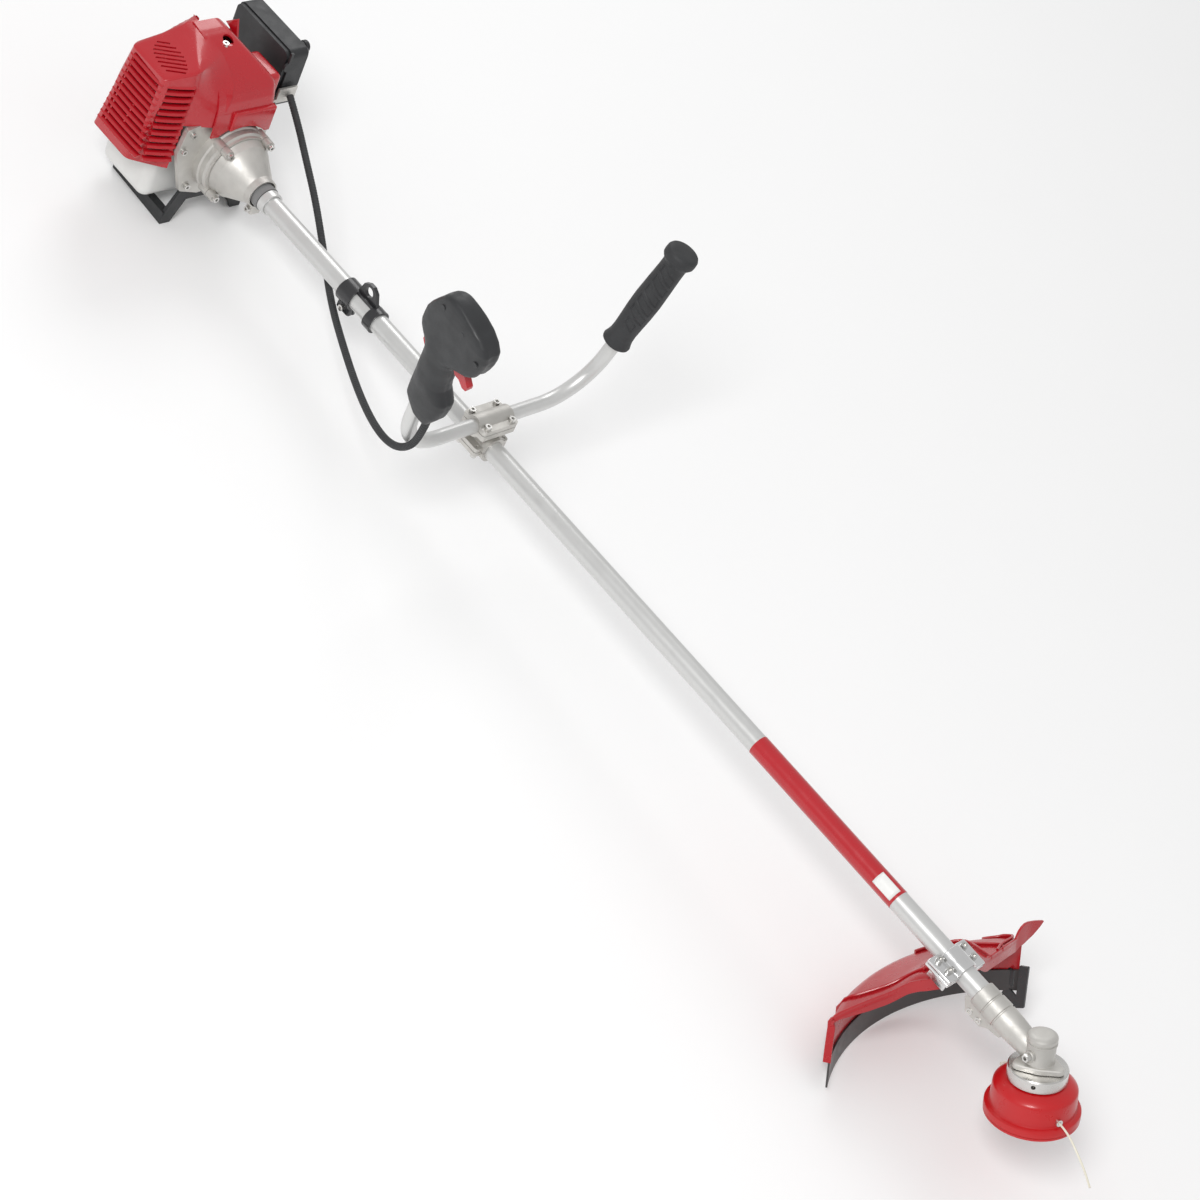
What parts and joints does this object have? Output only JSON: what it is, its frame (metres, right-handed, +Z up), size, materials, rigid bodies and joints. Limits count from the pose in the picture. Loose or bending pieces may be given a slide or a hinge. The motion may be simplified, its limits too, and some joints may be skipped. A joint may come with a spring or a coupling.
{
  "type": "brush cutter",
  "caption": "Petrol brush cutter with a straight shaft, bicycle handlebar, throttle handle, line guard and a bump-feed trimmer head.",
  "frame": {"origin": "floor level under the centre of the machine's outline, as it lies on its stand and guard", "axes": "+X towards the trimmer head, +Y to the operator's left, +Z up"},
  "size_m": [1.8125, 0.4186, 0.4496],
  "materials": {
    "shaft_paint": "gloss",
    "red_plastic": "gloss",
    "black_plastic": "satin",
    "black_rubber": "matte",
    "tank_plastic": "satin",
    "cast_aluminium": "cast",
    "bright_steel": "satin",
    "black_paint": "gloss",
    "chrome_plate": "polished",
    "gear_steel": "machined",
    "satin_aluminium": "satin",
    "filter_foam": "matte",
    "nylon_line": "gloss"
  },
  "bodies": {
    "machine": {"main_tube": "shaft_paint", "label_sleeve": "red_plastic", "rubber_bushes": "black_rubber", "ball_bearings": "bright_steel", "tube_collar": "satin_aluminium", "clutch_housing": "cast_aluminium", "fan_housing": "cast_aluminium", "crankcase": "cast_aluminium", "cylinder": "cast_aluminium", "piston_and_rod": "cast_aluminium", "ignition_plug": "bright_steel", "muffler": "gear_steel", "engine_cover": "red_plastic", "muffler_guard": "red_plastic", "carburettor": "cast_aluminium", "primer_bulb": "black_rubber", "air_filter": "black_plastic", "air_filter_cover": "black_plastic", "fuel_tank": "tank_plastic", "tank_stand": "black_plastic", "starter_housing": "black_plastic", "harness_clamp": "black_paint", "handlebar": "satin_aluminium", "handlebar_clamp": "cast_aluminium", "left_grip": "black_rubber", "throttle_handle_outer": "black_plastic", "throttle_handle_inner": "black_plastic", "throttle_cable": "black_plastic", "screws_and_pins": "bright_steel", "gear_case": "cast_aluminium", "case_covers": "cast_aluminium", "guard": "red_plastic", "guard_skirt": "black_plastic", "guard_clamp": "chrome_plate", "line_cutter": "black_paint"},
    "crank": {"crankshaft": "gear_steel", "flywheel": "cast_aluminium", "clutch_shoes": "gear_steel"},
    "drive": {"clutch_drum": "gear_steel", "drive_shaft": "gear_steel", "pinion_gear": "gear_steel"},
    "cutting_head": {"bevel_gear": "gear_steel", "output_shaft": "gear_steel", "adapter_plate": "bright_steel", "head_housing": "red_plastic", "head_cover": "black_plastic", "line_eyelets": "bright_steel", "front_line": "nylon_line", "rear_line": "nylon_line"},
    "bump_feed": {"line_spool": "black_plastic", "bump_knob": "black_plastic"},
    "trigger_lever": {"trigger": "red_plastic"},
    "lock_lever": {"lockout_lever": "red_plastic"},
    "switch_slider": {"stop_switch": "red_plastic"},
    "carb_lever": {"throttle_lever": "bright_steel"},
    "choke": {"choke_lever": "black_plastic"},
    "tank_cap": {"fuel_cap": "black_plastic"},
    "cover_knob": {"filter_knob": "black_plastic"},
    "pull_handle": {"starter_handle": "black_plastic"},
    "pulley": {"starter_pulley": "black_plastic"}
  },
  "joints": [
    {"name": "head_spin", "type": "hinge", "parent": "machine", "child": "cutting_head", "pos_m": [0.7964, 0.0001, 0.1792], "axis": [-0.4636, 0, 0.886], "continuous": true},
    {"name": "drive_spin", "type": "hinge", "parent": "machine", "child": "drive", "pos_m": [0.7964, 0.0001, 0.1792], "axis": [0.999, 0, 0.0457], "continuous": true},
    {"name": "crank_spin", "type": "hinge", "parent": "machine", "child": "crank", "pos_m": [-0.70203, 0.0001, 0.11063], "axis": [0.999, 0, 0.0457], "continuous": true},
    {"name": "bump_feed_push", "type": "slide", "parent": "cutting_head", "child": "bump_feed", "axis": [-0.4636, 0, 0.886], "range_m": [0, 0.005], "stiffness_N_per_m": 2000, "springref_m": -0.004},
    {"name": "trigger_pull", "type": "hinge", "parent": "machine", "child": "trigger_lever", "pos_m": [-0.15802, -0.18132, 0.36137], "axis": [-0.0071, 0.988, 0.1545], "range_deg": [0, 20], "stiffness_Nm_per_rad": 0.3, "springref_deg": -8.59},
    {"name": "lockout_press", "type": "hinge", "parent": "machine", "child": "lock_lever", "pos_m": [-0.20192, -0.18212, 0.36445], "axis": [0.0071, -0.988, -0.1545], "range_deg": [0, 12], "stiffness_Nm_per_rad": 0.2, "springref_deg": -8.59},
    {"name": "stop_switch_slide", "type": "slide", "parent": "machine", "child": "switch_slider", "axis": [-0.0492, 0.154, -0.9868], "range_m": [0, 0.008]},
    {"name": "carb_lever_turn", "type": "hinge", "parent": "machine", "child": "carb_lever", "pos_m": [-0.76572, 0.0661, 0.1898], "axis": [0.999, 0, 0.0457], "range_deg": [0, 30]},
    {"name": "choke_turn", "type": "hinge", "parent": "machine", "child": "choke", "pos_m": [-0.76191, 0.0791, 0.21601], "axis": [0.999, 0, 0.0457], "range_deg": [-70, 0]},
    {"name": "fuel_cap_turn", "type": "hinge", "parent": "machine", "child": "tank_cap", "pos_m": [-0.80754, 0.0661, 0.05375], "axis": [0, 1, 0], "continuous": true},
    {"name": "filter_knob_turn", "type": "hinge", "parent": "machine", "child": "cover_knob", "pos_m": [-0.78525, 0.1181, 0.22295], "axis": [0, 1, 0], "continuous": true},
    {"name": "starter_pull", "type": "slide", "parent": "machine", "child": "pull_handle", "axis": [0, 1, 0], "range_m": [0, 0.05], "stiffness_N_per_m": 120, "springref_m": -0.01},
    {"name": "pulley_turn", "type": "hinge", "parent": "machine", "child": "pulley", "pos_m": [-0.8309, 0.0001, 0.10474], "axis": [0.999, 0, 0.0457], "range_deg": [-115, 0]}
  ],
  "couplings": [
    {"joint": "drive_spin", "follows": "head_spin", "ratio": 1.3571},
    {"joint": "carb_lever_turn", "follows": "trigger_pull", "ratio": 1.5},
    {"joint": "pulley_turn", "follows": "starter_pull", "rad_per_m": -38.462}
  ]
}
